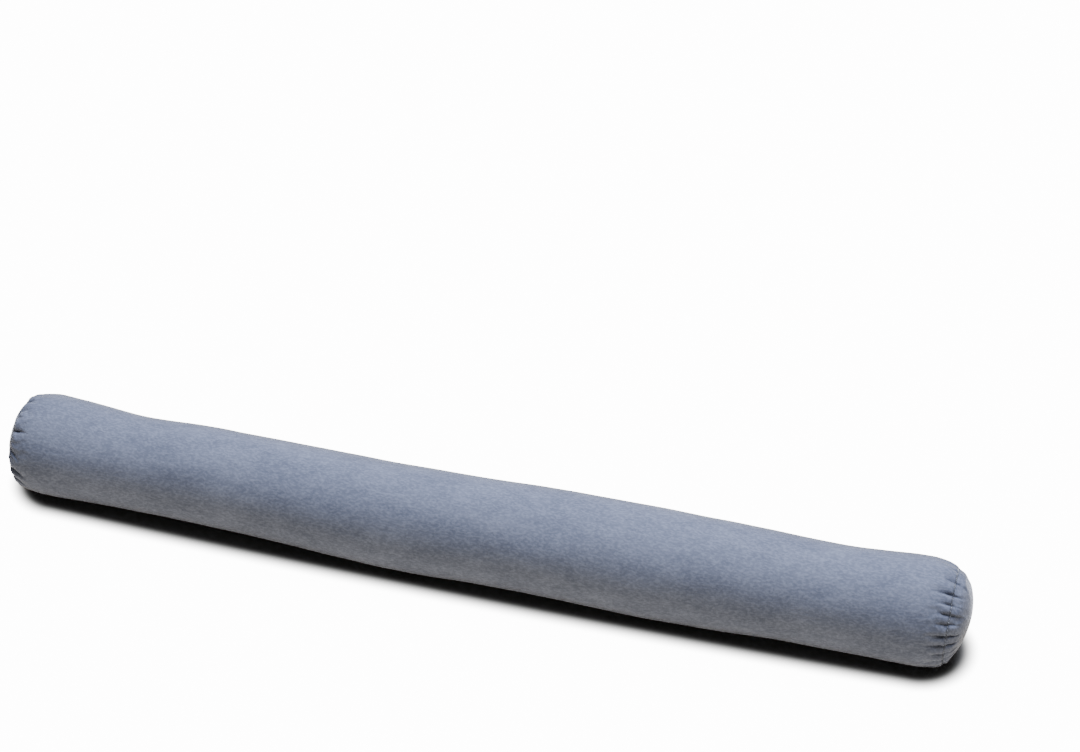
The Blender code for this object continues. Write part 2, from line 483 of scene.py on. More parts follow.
def straight_places(ring, waves, away):
    """The ring's places along the tube, with the seam's waves mostly taken out close to it."""
    share = STRAIGHTENED * math.exp(-((away / WAVE_REACH) ** 2))
    return ring[:, 0] - share * waves[:: len(waves) // len(ring)]


def fit_tube_ring(ring, seam_x, waves, seam_radius, side):
    """One ring of the tube's side of an end, slid and scaled to the frame."""
    away = seam_x - float(ring[:, 0].mean())
    slid = max(0.0, 1 - away / SLIDE_REACH)
    along = straight_places(ring, waves, away) - slid * seam_x - (1 - slid) * PULL
    along = seams[side] + side * along
    place = float(along.mean())
    aside, height, _ = section_at(place)
    scale = shoulder_radius(place, side, mean_radius(ring), seam_radius) / mean_radius(ring)
    y = ring[:, 1] * scale + aside
    z = np.maximum((ring[:, 2] - cloth_height) * scale + height, 0.0)
    return np.column_stack((along, y, z))


def fit_panel_ring(ring, seam_x, waves, scale, side):
    """One ring of the panel's side of an end, scaled to the seam and lifted to the crown."""
    aside, height, _ = section_at(seams[side])
    y = ring[:, 1] * scale
    z = (ring[:, 2] - cloth_height) * scale
    share = min(float(np.hypot(y, z).mean()) / SEAM_RADIUS, 1.0)
    out = straight_places(ring, waves, (1 - share) * SEAM_RADIUS) - seam_x
    wanted = crown_out(side, share, z / max(share * SEAM_RADIUS, HUB))
    wanted = np.minimum(wanted, STEEPEST_CROWN * out.mean())
    along = seams[side] + side * (wanted + out - out.mean())
    return np.column_stack((along, y + aside, np.maximum(z + height, 0.0)))


def fit_end(rings, side):
    """An end's rings in the frame: those of the tube from the seam in, and those of the panel."""
    rings = [calmed_ring(ring) for ring in rings]
    seam_ring = rings[SEAM_RING]
    seam_x = float(seam_ring[:, 0].mean())
    waves = seam_ring[:, 0] - seam_x
    radius = mean_radius(seam_ring)
    tube_side = [fit_tube_ring(r, seam_x, waves, radius, side) for r in rings[SEAM_RING::-1]]
    scale = SEAM_RADIUS / radius
    panel_side = [fit_panel_ring(r, seam_x, waves, scale, side) for r in rings[SEAM_RING + 1 :]]
    return tube_side, panel_side


fitted = {side: fit_end(rings, side) for side, rings in filled_ends.items()}
for side, (tube_side, panel_side) in fitted.items():
    tip = max(side * ring[:, 0].max() for ring in panel_side)
    print("end", side, "seam at", tube_side[0][:, 0].mean().round(4), "tip at", round(side * tip, 4))

# %% [markdown]
# ## Creases
# Under tension each pucker closes to a sharp crease at its bottom, finer than the simulated
# cloth's points can show. So each crease is pressed in afterwards. The points beside it are
# drawn together first, which lets a line about a millimetre wide fold the mesh cleanly. Each
# ring also gets a fourth column from here on, which holds painted shade at each point, in a
# crease or along the seam. The dye darkens the cloth by it later, in place of the shade these narrow
# grooves hold.

# %% Press the creases
CREASE_SHARE = 1.7  # a crease's depth as a share of its pucker's
CREASE_WIDTH = math.radians(1.0)
CREASE_DRAW = 0.6  # share of the way that the points beside a crease move to it
CREASE_DRAW_REACH = math.radians(3.5)
CREASE_FADE = 0.7  # share of its pucker's reach over which a crease fades
PANEL_SINKS, PANEL_DRAWS = 0.8, 0.6  # on a panel, shares of the depth taken inwards and to the middle
THREAD_HOLDS = 0.65  # share of the depth that the seam's thread holds back at the seam itself
THREAD_REACH = 0.0018
FULL_SHADE_DEPTH = 0.0022  # the painted shade is full in a pucker this deep
SEAM_SHADE = 0.6  # how dark the painted shade along the seam itself is
SEAM_SHADE_REACH = 0.0008
SEARCH = math.radians(4)  # how far from its start a pucker may have settled
SEARCHED_RING = 3  # this many rings from the seam


def away_and_angle(ring, aside, height):
    """How far each point of a ring is from its middle, and its angle."""
    out_y, out_z = ring[:, 1] - aside, ring[:, 2] - height
    return np.hypot(out_y, out_z), np.arctan2(out_z, -out_y)


def settled_shifts(rings, gathers):
    """How far round each pucker's bottom has moved from where it was started."""
    ring = rings[SEAM_RING - SEARCHED_RING]
    away = np.hypot(ring[:, 1], ring[:, 2] - cloth_height)
    shifts = []
    for degrees, *_ in gathers:
        turn = wrapped(angles_of(len(ring)) - math.radians(degrees))
        near = np.flatnonzero(np.abs(turn) < SEARCH)
        shifts.append(float(turn[near[np.argmin(away[near])]]))
    return shifts


def creased(ring, side, gathers, shifts, distance, on_tube):
    """The ring with a sharp crease pressed into each pucker, and its column of painted shade."""
    aside, height, _ = section_at(float(ring[:, 0].mean()) if on_tube else seams[side])
    away, angle = away_and_angle(ring, aside, height)
    pressed, shade = np.zeros(len(ring)), np.zeros(len(ring))
    shade += SEAM_SHADE * math.exp(-((distance / SEAM_SHADE_REACH) ** 2))
    held = 1 - THREAD_HOLDS * math.exp(-((distance / THREAD_REACH) ** 2))
    for (degrees, tube_reach, panel_reach, depth, lean), shift in zip(gathers, shifts):
        reach = tube_reach if on_tube else panel_reach
        leaning = lean * min(distance / reach, 1.0) if on_tube else 0.0
        fade = held * math.exp(-((distance / (CREASE_FADE * reach)) ** 2))
        turn = wrapped(angle - math.radians(degrees + leaning) - shift)
        moved = turn * (1 - CREASE_DRAW * fade * np.exp(-((turn / CREASE_DRAW_REACH) ** 2)))
        line = fade * np.exp(-((moved / CREASE_WIDTH) ** 2))
        pressed += CREASE_SHARE * depth * line
        shade += depth / FULL_SHADE_DEPTH * line
        angle = angle + moved - turn
    sinks, draws = (0.0, 1.0) if on_tube else (PANEL_SINKS, PANEL_DRAWS)
    away = away - pressed * draws
    x = ring[:, 0] - side * pressed * sinks
    z = np.maximum(height + away * np.sin(angle), 0.0)
    return np.column_stack((x, aside - away * np.cos(angle), z, np.minimum(shade, 1.0)))


def crease_end(side, gathers):
    """Both lists of an end's rings with their creases pressed in."""
    tube_side, panel_side = fitted[side]
    shifts = settled_shifts(filled_ends[side], gathers)
    tube_side = [
        creased(ring, side, gathers, shifts, abs(seams[side] - float(ring[:, 0].mean())), True)
        for ring in tube_side
    ]
    done = []
    for ring in panel_side[:-1]:
        aside, height, _ = section_at(seams[side])
        radius = float(np.hypot(ring[:, 1] - aside, ring[:, 2] - height).mean())
        done.append(creased(ring, side, gathers, shifts, SEAM_RADIUS - radius, False))
    most = math.degrees(max(abs(shift) for shift in shifts))
    print("end", side, "puckers moved by up to", round(most, 1), "degrees")
    return tube_side, [*done, np.column_stack((panel_side[-1], (0.0,)))]


left_tube, left_panel = crease_end(-1, LEFT_GATHERS)
right_tube, right_panel = crease_end(1, RIGHT_GATHERS)

# %% [markdown]
# ## The middle of the tube
# Between the ends the cloth is stretched over fibre filling, which feels lumpy under the hand.
# The rings follow the frame's sections, and low swellings press the surface in and out by a few
# tenths of a millimetre. A few soft dents show where the filling has parted. These rings have
# half the points of the fine ones, because nothing here is as narrow as a pucker.

# %% Shape the tube's middle
MIDDLE_STEP = 0.008  # between the rings of the middle
LUMP_SIZES = ((0.045, 0.0008), (0.020, 0.0003))  # width of a swelling, and how high it stands
LUMP_STRETCH = 1.4  # a swelling is longer than it is wide
LUMP_FADE = 0.028  # the swellings fade out over this length before a seam
# place along the tube, degrees, half length along, half width round (metres), depth
DENTS = (
    (-0.296, 75, 0.004, 0.030, 0.0005),
    (-0.234, 80, 0.005, 0.034, 0.0006),
    (-0.222, 50, 0.004, 0.018, 0.0004),
    (-0.180, 60, 0.005, 0.020, 0.0003),
    (-0.049, 62, 0.006, 0.016, 0.0004),
    (0.087, 78, 0.005, 0.022, 0.0004),
    (0.285, 72, 0.005, 0.018, 0.0004),
    (0.140, 200, 0.006, 0.030, 0.0005),
    (-0.120, 190, 0.006, 0.026, 0.0005),
)


def swelling(x, y, z):
    """How far the filling pushes the cloth out at a place, less the dents."""
    lump = 0.0
    for size, height in LUMP_SIZES:
        lump += height * noise.noise(Vector((x / (LUMP_STRETCH * size), y / size, z / size)))
    from_seam = min(x - seams[-1], seams[1] - x)
    return lump * min(1.0, max(0.0, from_seam / LUMP_FADE))


def dent_depths(place, angles, radius):
    """How deep the dents press at each angle round the tube."""
    depths = np.zeros(len(angles))
    for at, degrees, along, around, depth in DENTS:
        turn = wrapped(angles - math.radians(degrees))
        depths += depth * np.exp(-(((place - at) / along) ** 2) - (turn * radius / around) ** 2)
    return depths


def lumpy(ring):
    """The ring pushed out and in by the filling, its underside left on the floor."""
    place = float(ring[:, 0].mean())
    aside, height, radius = section_at(place)
    out_y, out_z = ring[:, 1] - aside, ring[:, 2] - height
    away = np.hypot(out_y, out_z)
    push = np.array([swelling(*point) for point in ring[:, :3]])
    push -= dent_depths(place, np.arctan2(out_z, -out_y), radius)
    scale = 1 + push / away
    z = np.maximum(height + out_z * scale, 0.0)
    z[ring[:, 2] <= 0] = 0.0
    return np.column_stack((ring[:, 0], aside + out_y * scale, z, ring[:, 3]))


def middle_ring(place):
    """A plain ring of the middle, from the frame's section."""
    aside, height, radius = section_at(place)
    ring = circle(place, radius, AROUND // 2, height)
    ring[:, 1] += aside
    return np.column_stack((ring, np.zeros(len(ring))))


middle_from = float(left_tube[-1][:, 0].mean())
middle_to = float(right_tube[-1][:, 0].mean())
bands = round((middle_to - middle_from) / MIDDLE_STEP)
places = np.linspace(middle_from, middle_to, bands + 1)[1:-1]
tube_rings = [*left_tube, *(middle_ring(place) for place in places), *reversed(right_tube)]
tube_rings = [lumpy(ring) for ring in tube_rings]
print(len(tube_rings), "rings in the tube")

# %% [markdown]
# ## The closing seam
# The tube panel is one piece of cloth rolled up, so it has a seam of its own along its length.
# It is turned to the back and down, where it doesn't show. The points beside it are drawn in
# close and the line itself sinks a little, which is all that a plain seam shows from outside.

# %% Sink the closing seam
CLOSING_POINT = 130  # of a fine ring's points; even, so that coarse rings have one there too
CLOSING_ANGLE = 2 * math.pi * CLOSING_POINT / AROUND
DRAW_IN = 0.6  # share of the way that the points beside the seam move to it
DRAW_REACH = math.radians(6)
SINK = 0.0008  # depth of the line
SINK_REACH = math.radians(1.6)


def with_closing_seam(ring):
    """The ring with its points drawn in to the closing seam and the seam sunk."""
    aside, height, _ = section_at(float(ring[:, 0].mean()))
    away, angle = away_and_angle(ring, aside, height)
    turn = wrapped(angle - CLOSING_ANGLE)
    moved = turn * (1 - DRAW_IN * np.exp(-((turn / DRAW_REACH) ** 2)))
    away = away - SINK * np.exp(-((moved / SINK_REACH) ** 2))
    angle = CLOSING_ANGLE + moved
    y = aside - away * np.cos(angle)
    z = np.maximum(height + away * np.sin(angle), 0.0)
    return np.column_stack((ring[:, 0], y, z, ring[:, 3]))


tube_rings = [with_closing_seam(ring) for ring in tube_rings]
closing_line = np.array(
    [ring[len(ring) * CLOSING_POINT // AROUND, :3] for ring in tube_rings]
)
print("closing seam", round(float(np.ptp(closing_line[:, 0])), 3), "m long")

# %% [markdown]
# ## Turning in the edges
# At each end seam the two panels meet edge to edge and both edges turn inwards, so a narrow
# groove shows between them. Each cover is closed behind its edge, which keeps it a solid piece
# that can be printed or weighed. One level of Subdivision rounds the folds and the edges.

# %% Close the covers
# gap to the seam's plane and how far in from the seam's line, for each ring of the turned edge
TURNED_EDGE = ((0.00022, 0.0001), (0.00006, 0.0007), (0.00006, 0.0030))


def turned_edge(seam_ring, side, towards):
    """The rings that turn an edge inwards, and the pole that closes the cover behind it."""
    aside, height, _ = section_at(seams[side])
    rings = []
    for gap, inwards in TURNED_EDGE:
        out_y, out_z = seam_ring[:, 1] - aside, seam_ring[:, 2] - height
        scale = 1 - inwards / np.hypot(out_y, out_z)
        x = seam_ring[:, 0] + towards * gap
        y, z = aside + out_y * scale, height + out_z * scale
        rings.append(np.column_stack((x, y, z, seam_ring[:, 3])))
    rings.append(np.array([(rings[-1][:, 0].mean(), aside, height, 0.0)]))
    return rings


def cover(name, rings):
    """A closed, smooth cover through rings that run towards +X."""
    mesh, _ = mesh_of(name, rings)
    mesh.shade_smooth()
    # The fourth column goes on the mesh as painted shade for the creases and the seam.
    painted_shade = mesh.attributes.new("painted_shade", "FLOAT", "POINT")
    painted_shade.data.foreach_set("value", np.vstack(rings)[:, 3].astype(np.float32))
    piece = bpy.data.objects.new(name, mesh)
    bpy.context.scene.collection.objects.link(piece)
    rounding = piece.modifiers.new("Rounding", "SUBSURF")
    rounding.levels = rounding.render_levels = 1
    triangles = sum(len(face.vertices) * 2 for face in mesh.polygons)
    print(name, len(mesh.vertices), "points,", triangles, "triangles when rounded")
    return piece


left_seam, right_seam = tube_rings[0], tube_rings[-1]
tube_cover = cover(
    "tube_cover",
    [
        *reversed(turned_edge(left_seam, -1, 1)),
        *tube_rings[1:-1],
        *turned_edge(right_seam, 1, -1),
    ],
)
end_cover_left = cover("end_cover_left", [*reversed(left_panel), *turned_edge(left_seam, -1, -1)])
end_cover_right = cover(
    "end_cover_right", [*reversed(turned_edge(right_seam, 1, 1)), *right_panel]
)

# %% [markdown]
# ## Stitches
# A gathered seam pulls its two panels apart a little, and the thread shows in the groove as tiny
# bars from one edge to the other. There are hundreds of them, all alike, so Geometry Nodes set
# one small capsule at even steps along each seam's line. An attribute on the line says which way
# is across the seam, and each stitch is turned to it.

# %% Build the stitch tree
COLUMN = 200  # between the columns of nodes in the editor


def new_node(tree, kind, column, **settings):
    """Adds a node in a column of the tree and sets its properties."""
    made = tree.nodes.new(kind)
    made.location = (column * COLUMN, 0)
    for key, value in settings.items():
        setattr(made, key, value)
    return made


def set_values(node, **values):
    """Sets a node's inputs, found by name, and gives the node back."""
    for title, value in values.items():
        node.inputs[title.replace("_", " ")].default_value = value
    return node


def wire(tree, *links):
    """Links nodes, each link as (from node, its output, to node, its input)."""
    for start, output, end, given_input in links:
        tree.links.new(start.outputs[output], end.inputs[given_input])


def stitch_tree():
    """A Geometry Nodes tree that sews stitches across the line it is given."""
    tree = bpy.data.node_groups.new("Stitches across a seam", "GeometryNodeTree")
    sockets = tree.interface
    sockets.new_socket("Geometry", in_out="INPUT", socket_type="NodeSocketGeometry")
    for title in ("Pitch", "Stitch Length", "Thread Thickness", "Unevenness"):
        sockets.new_socket(title, in_out="INPUT", socket_type="NodeSocketFloat")
    sockets.new_socket("Seed", in_out="INPUT", socket_type="NodeSocketInt")
    sockets.new_socket("Thread", in_out="INPUT", socket_type="NodeSocketMaterial")
    sockets.new_socket("Geometry", in_out="OUTPUT", socket_type="NodeSocketGeometry")
    given = new_node(tree, "NodeGroupInput", 0)
    line = new_node(tree, "GeometryNodeMeshToCurve", 1)
    spaced = new_node(tree, "GeometryNodeResampleCurve", 2, mode="LENGTH")
    capsule = new_node(tree, "GeometryNodeMeshUVSphere", 2)
    set_values(capsule, Segments=8, Rings=5, Radius=0.5)
    across = new_node(tree, "GeometryNodeInputNamedAttribute", 2, data_type="FLOAT_VECTOR")
    across.inputs["Name"].default_value = "across"
    turned = new_node(tree, "FunctionNodeAlignRotationToVector", 3, axis="X")
    uneven = new_node(tree, "FunctionNodeRandomValue", 3, data_type="FLOAT")
    least = new_node(tree, "ShaderNodeMath", 2, operation="SUBTRACT")
    least.inputs[0].default_value = 1.0
    length = new_node(tree, "ShaderNodeMath", 4, operation="MULTIPLY")
    size = new_node(tree, "ShaderNodeCombineXYZ", 5)
    sewn = new_node(tree, "GeometryNodeInstanceOnPoints", 6)
    realised = new_node(tree, "GeometryNodeRealizeInstances", 7)
    coloured = new_node(tree, "GeometryNodeSetMaterial", 8)
    result = new_node(tree, "NodeGroupOutput", 9)
    wire(
        tree,
        (given, "Geometry", line, "Mesh"),
        (line, "Curve", spaced, "Curve"),
        (given, "Pitch", spaced, "Length"),
        (spaced, "Curve", sewn, "Points"),
        (capsule, "Mesh", sewn, "Instance"),
        (across, "Attribute", turned, "Vector"),
        (turned, "Rotation", sewn, "Rotation"),
        (given, "Unevenness", least, 1),
        (least, 0, uneven, "Min"),
        (given, "Seed", uneven, "Seed"),
        (uneven, "Value", length, 0),
        (given, "Stitch Length", length, 1),
        (length, 0, size, "X"),
        (given, "Thread Thickness", size, "Y"),
        (given, "Thread Thickness", size, "Z"),
        (size, "Vector", sewn, "Scale"),
        (sewn, "Instances", realised, "Geometry"),
        (realised, "Geometry", coloured, "Geometry"),
        (given, "Thread", coloured, "Material"),
        (coloured, "Geometry", result, "Geometry"),
    )
    return tree


stitches_across = stitch_tree()
thread = bpy.data.materials.new("sewing thread")
print(len(stitches_across.nodes), "nodes in the stitch tree")

# %% Sew along a line
PITCH = 0.0028  # from stitch to stitch
STITCH_LENGTH = 0.0011
THREAD_THICKNESS = 0.00035
SHORTEST_SPREAD = 0.5  # the shortest stitch is this share shorter than the longest
SUNK = 0.0004  # how far below the edges the thread lies


def seam_line(name, points, across, closed):
    """A line through the points, which holds the direction across the seam at each of them."""
    mesh = bpy.data.meshes.new(name)
    count = len(points)
    edges = [(i, (i + 1) % count) for i in range(count if closed else count - 1)]
    mesh.from_pydata(points.tolist(), edges, [])
    attribute = mesh.attributes.new("across", "FLOAT_VECTOR", "POINT")
    attribute.data.foreach_set("vector", np.asarray(across, float).ravel())
    piece = bpy.data.objects.new(name, mesh)
    bpy.context.scene.collection.objects.link(piece)
    return piece


def set_inputs(modifier, **values):
    """Sets a Geometry Nodes modifier's inputs, found by name and set by identifier."""
    wanted = {title.replace("_", " "): value for title, value in values.items()}
    for item in modifier.node_group.interface.items_tree:
        if item.item_type == "SOCKET" and item.in_out == "INPUT" and item.name in wanted:
            modifier[item.identifier] = wanted[item.name]


def sewn(name, points, across, closed, seed):
    """A mesh of stitches along a line."""
    piece = seam_line(name, points, across, closed)
    modifier = piece.modifiers.new("Stitches", "NODES")
    modifier.node_group = stitches_across
    set_inputs(
        modifier,
        Pitch=PITCH,
        Stitch_Length=STITCH_LENGTH,
        Thread_Thickness=THREAD_THICKNESS,
        Unevenness=SHORTEST_SPREAD,
        Seed=seed,
        Thread=thread,
    )
    evaluated = piece.evaluated_get(bpy.context.evaluated_depsgraph_get())
    mesh = bpy.data.meshes.new_from_object(evaluated)
    piece.modifiers.remove(modifier)
    line = piece.data
    piece.data = mesh
    bpy.data.meshes.remove(line)
    mesh.name = name
    mesh.shade_smooth()
    print(name, len(mesh.polygons), "faces")
    return piece


def end_stitches(name, seam_ring, side, seed):
    """The stitches round an end seam, sunk into its groove."""
    aside, height, _ = section_at(seams[side])
    out = seam_ring - (0.0, aside, height)
    out[:, 0] = 0.0
    scale = SUNK / np.hypot(out[:, 1], out[:, 2])
    points = seam_ring - out * scale[:, None]
    return sewn(name, points, np.tile((1.0, 0.0, 0.0), (len(points), 1)), True, seed)


seam_stitches_left = end_stitches("seam_stitches_left", left_seam[:, :3], -1, seed=11)
seam_stitches_right = end_stitches("seam_stitches_right", right_seam[:, :3], 1, seed=12)
along_closing = closing_line[2:-2]
round_the_tube = (0.0, math.sin(CLOSING_ANGLE), math.cos(CLOSING_ANGLE))
across_closing = np.tile(round_the_tube, (len(along_closing), 1))
closing_stitches = sewn("closing_stitches", along_closing, across_closing, closed=False, seed=13)

# %% [markdown]
# ## Faux suede
# Faux suede is a knitted cloth with a very short pile. Stroking the pile one way makes it paler
# and the other way darker, so the surface is a patchwork of soft marks, drawn out along the
# tube. At a glancing angle the tips of the pile catch the light in a pale rim, which is what the
# shader's sheen is for. Two node groups hold what every material here needs: the nap, which
# gives a mask of the stroked marks, and the pile, which gives a height for the Bump node.

# %% Build the nap group
def group_with(name, inputs, outputs):
    """A shader group with float or vector inputs and float outputs, and its two end nodes."""
    tree = bpy.data.node_groups.new(name, "ShaderNodeTree")
    for title, kind in inputs:
        tree.interface.new_socket(title, in_out="INPUT", socket_type=kind)
    for title in outputs:
        tree.interface.new_socket(title, in_out="OUTPUT", socket_type="NodeSocketFloat")
    return tree, new_node(tree, "NodeGroupInput", 0), new_node(tree, "NodeGroupOutput", 9)


def noise_node(tree, column, detail, distortion):
    """A Noise Texture with its detail and distortion set."""
    made = new_node(tree, "ShaderNodeTexNoise", column)
    return set_values(made, Detail=detail, Distortion=distortion)


def range_node(tree, column, low, high):
    """A smooth Map Range from low..high to 0..1."""
    made = new_node(tree, "ShaderNodeMapRange", column, interpolation_type="SMOOTHSTEP")
    return set_values(made, From_Min=low, From_Max=high)


def nap_group():
    """Marks left in a pile by stroking: broad soft ones, small crushed ones, and flecks."""
    inputs = (
        ("Place", "NodeSocketVector"),
        ("Broad Marks", "NodeSocketFloat"),
        ("Small Marks", "NodeSocketFloat"),
        ("Small Share", "NodeSocketFloat"),
        ("Flecks", "NodeSocketFloat"),
        ("Fleck Share", "NodeSocketFloat"),
    )
    tree, given, result = group_with("Stroked nap", inputs, ("Nap",))
    broad = noise_node(tree, 1, detail=3.0, distortion=0.6)
    small = noise_node(tree, 1, detail=4.0, distortion=0.3)
    soft = range_node(tree, 2, low=0.30, high=0.70)
    crisp = range_node(tree, 2, low=0.36, high=0.64)
    mixed = new_node(tree, "ShaderNodeMix", 4, data_type="FLOAT")
    fleck = noise_node(tree, 1, detail=2.0, distortion=0.0)
    pale = range_node(tree, 2, low=0.40, high=0.66)
    flecked = new_node(tree, "ShaderNodeMix", 5, data_type="FLOAT")
    wire(
        tree,
        (given, "Place", fleck, "Vector"),
        (given, "Flecks", fleck, "Scale"),
        (fleck, "Fac", pale, "Value"),
        (given, "Fleck Share", flecked, "Factor"),
        (mixed, "Result", flecked, "A"),
        (pale, "Result", flecked, "B"),
        (given, "Place", broad, "Vector"),
        (given, "Place", small, "Vector"),
        (given, "Broad Marks", broad, "Scale"),
        (given, "Small Marks", small, "Scale"),
        (broad, "Fac", soft, "Value"),
        (small, "Fac", crisp, "Value"),
        (given, "Small Share", mixed, "Factor"),
        (soft, "Result", mixed, "A"),
        (crisp, "Result", mixed, "B"),
        (flecked, "Result", result, "Nap"),
    )
    return tree


def pile_group():
    """The height of the pile: fine fibre, and the low ridges where it has been pushed up."""
    inputs = (
        ("Place", "NodeSocketVector"),
        ("Fibre", "NodeSocketFloat"),
        ("Nap", "NodeSocketFloat"),
        ("Nap Height", "NodeSocketFloat"),
    )
    tree, given, result = group_with("Pile height", inputs, ("Height",))
    fibre = noise_node(tree, 1, detail=2.0, distortion=0.0)
    raised = new_node(tree, "ShaderNodeMath", 3, operation="MULTIPLY_ADD")
    wire(
        tree,
        (given, "Place", fibre, "Vector"),
        (given, "Fibre", fibre, "Scale"),
        (given, "Nap", raised, 0),
        (given, "Nap Height", raised, 1),
        (fibre, "Fac", raised, 2),
        (raised, 0, result, "Height"),
    )
    return tree


nap = nap_group()
pile = pile_group()
print("groups:", nap.name, "and", pile.name)

# %% Dye the cloth and paint the shade of its creases and seams
DEEP_BLUE_GREY = (0.130, 0.147, 0.203, 1.0)  # the pile stroked away from the light
PALE_BLUE_GREY = (0.236, 0.261, 0.343, 1.0)  # the pile stroked towards it
PAINTED_SHADE_BLUE_GREY = (0.030, 0.036, 0.052, 1.0)  # painted shade: the darkest the dye goes in a crease or along the seam
THREAD_COLOUR = (0.30, 0.34, 0.42, 1.0)
SHEEN_TINT = (0.92, 0.94, 1.0, 1.0)
DEEP_ROUGHNESS, PALE_ROUGHNESS = 0.95, 0.82
PILE_HEIGHT = 0.0004
FIBRES = 1400.0  # scale of the pile's own grain


def placed_group(tree, group, column, **values):
    """Puts a shader group in a material and sets its inputs by name."""
    return set_values(new_node(tree, "ShaderNodeGroup", column, node_tree=group), **values)


def suede(name, stretch, turn, **marks_wanted):
    """Faux suede whose marks are drawn out by stretch and turned by turn."""
    material = bpy.data.materials.new(name)
    material.use_nodes = True
    tree = material.node_tree
    shader = tree.nodes["Principled BSDF"]
    coordinates = new_node(tree, "ShaderNodeTexCoord", -6)
    mapping = new_node(tree, "ShaderNodeMapping", -5)
    set_values(mapping, Scale=stretch, Rotation=turn)
    marks = placed_group(tree, nap, -4, **marks_wanted)
    fibres = placed_group(tree, pile, -3, Fibre=FIBRES, Nap_Height=0.8)
    dye = new_node(tree, "ShaderNodeMix", -2, data_type="RGBA")
    dye.inputs["A"].default_value = DEEP_BLUE_GREY
    dye.inputs["B"].default_value = PALE_BLUE_GREY
    # Painted shade: the attribute darkens the dye towards a near-black blue grey in creases and along the
    # seam, in place of the shade they hold.
    painted_shade = new_node(tree, "ShaderNodeAttribute", -2, attribute_name="painted_shade")
    with_painted_shade = new_node(tree, "ShaderNodeMix", -1, data_type="RGBA")
    with_painted_shade.inputs["B"].default_value = PAINTED_SHADE_BLUE_GREY
    dull = new_node(tree, "ShaderNodeMapRange", -2)
    set_values(dull, To_Min=DEEP_ROUGHNESS, To_Max=PALE_ROUGHNESS)
    bump = new_node(tree, "ShaderNodeBump", -1)
    set_values(bump, Strength=0.5, Distance=PILE_HEIGHT)
    wire(
        tree,
        (coordinates, "Object", mapping, "Vector"),
        (mapping, "Vector", marks, "Place"),
        (coordinates, "Object", fibres, "Place"),
        (marks, "Nap", fibres, "Nap"),
        (marks, "Nap", dye, "Factor"),
        (marks, "Nap", dull, "Value"),
        (painted_shade, "Fac", with_painted_shade, "Factor"),
        (dye, "Result", with_painted_shade, "A"),
        (with_painted_shade, "Result", shader, "Base Color"),
        (dull, "Result", shader, "Roughness"),
        (fibres, "Height", bump, "Height"),
        (bump, "Normal", shader, "Normal"),
    )
    set_values(shader, Specular_IOR_Level=0.15, Sheen_Tint=SHEEN_TINT)
    set_values(shader, Sheen_Weight=1.0, Sheen_Roughness=0.3)
    return material


stroked = {"Broad_Marks": 40.0, "Small_Marks": 190.0, "Small_Share": 0.42}
flecked = {"Flecks": 620.0, "Fleck_Share": 0.5}
tube_suede = suede("suede of the tube", (0.5, 1.0, 1.0), (0.0, 0.0, 0.0), **stroked, **flecked)
panel_suede = suede("suede of the end panels", (1.0, 1.0, 0.6), (0.5, 0.0, 0.0), **stroked, **flecked)
tube_cover.data.materials.append(tube_suede)
for panel in (end_cover_left, end_cover_right):
    panel.data.materials.append(panel_suede)

thread.use_nodes = True
twist = thread.node_tree.nodes["Principled BSDF"]
set_values(twist, Base_Color=THREAD_COLOUR, Roughness=0.6)
print("materials:", tube_suede.name, "/", panel_suede.name, "/", thread.name)

# %% [markdown]
# ## Joining the frame
# The bolster has no moving parts, so every piece rides on the one body. The covers replace the
# frame's three solids, which are hidden but stay in the scene. The covers replace the frame's
# three solids, which stay behind for collision and weight.

for piece, node in (
    (tube_cover, "tube_panel"),
    (end_cover_left, "end_panel_left"),
    (end_cover_right, "end_panel_right"),
):
    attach(piece, "root")
    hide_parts(node)

for piece in (seam_stitches_left, seam_stitches_right, closing_stitches):
    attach(piece, "root")

# %% [markdown]
# ## The floor and the camera
# The bolster lies on a plain white floor. For the camera the floor glows white, like the light
# table of a product studio, and the glow fades towards the bolster's middle line: that fade, over
# a dark grey floor, is a painted shadow. Only the camera sees the glow, so it doesn't light the cloth.
# For every other ray the floor is plain paper that bounces the softbox's light back up. The camera stands
# in front and a little to the right, with a long lens that keeps the two ends nearly the same size.

# %% Lay the floor
FLOOR_GAP = 0.0003  # keeps the floor clear of the cloth that lies on it
FLOOR_SIZE = 30.0
GLOW = 14.0
SHADE_FROM, SHADE_TO = 0.0262, 0.0563  # from the middle line: where the glow starts and is full, the painted shadow's inner and outer edge
SHADE_DEPTH = 5.0  # how slowly the glow comes up out of the painted shadow
SHADE_HALF_LENGTH = 0.408
BOUNCE_COLOUR = (1.0, 0.88, 0.66, 1.0)
PAINTED_SHADOW_GREY = (0.12, 0.12, 0.12, 1.0)  # the dark grey the camera sees where the glow fades, which makes the painted shadow


def math_node(tree, column, operation, *values):
    """A Math node, with any values that aren't linked."""
    made = new_node(tree, "ShaderNodeMath", column, operation=operation)
    for number, value in enumerate(values):
        if value is not None:
            made.inputs[number].default_value = value
    return made


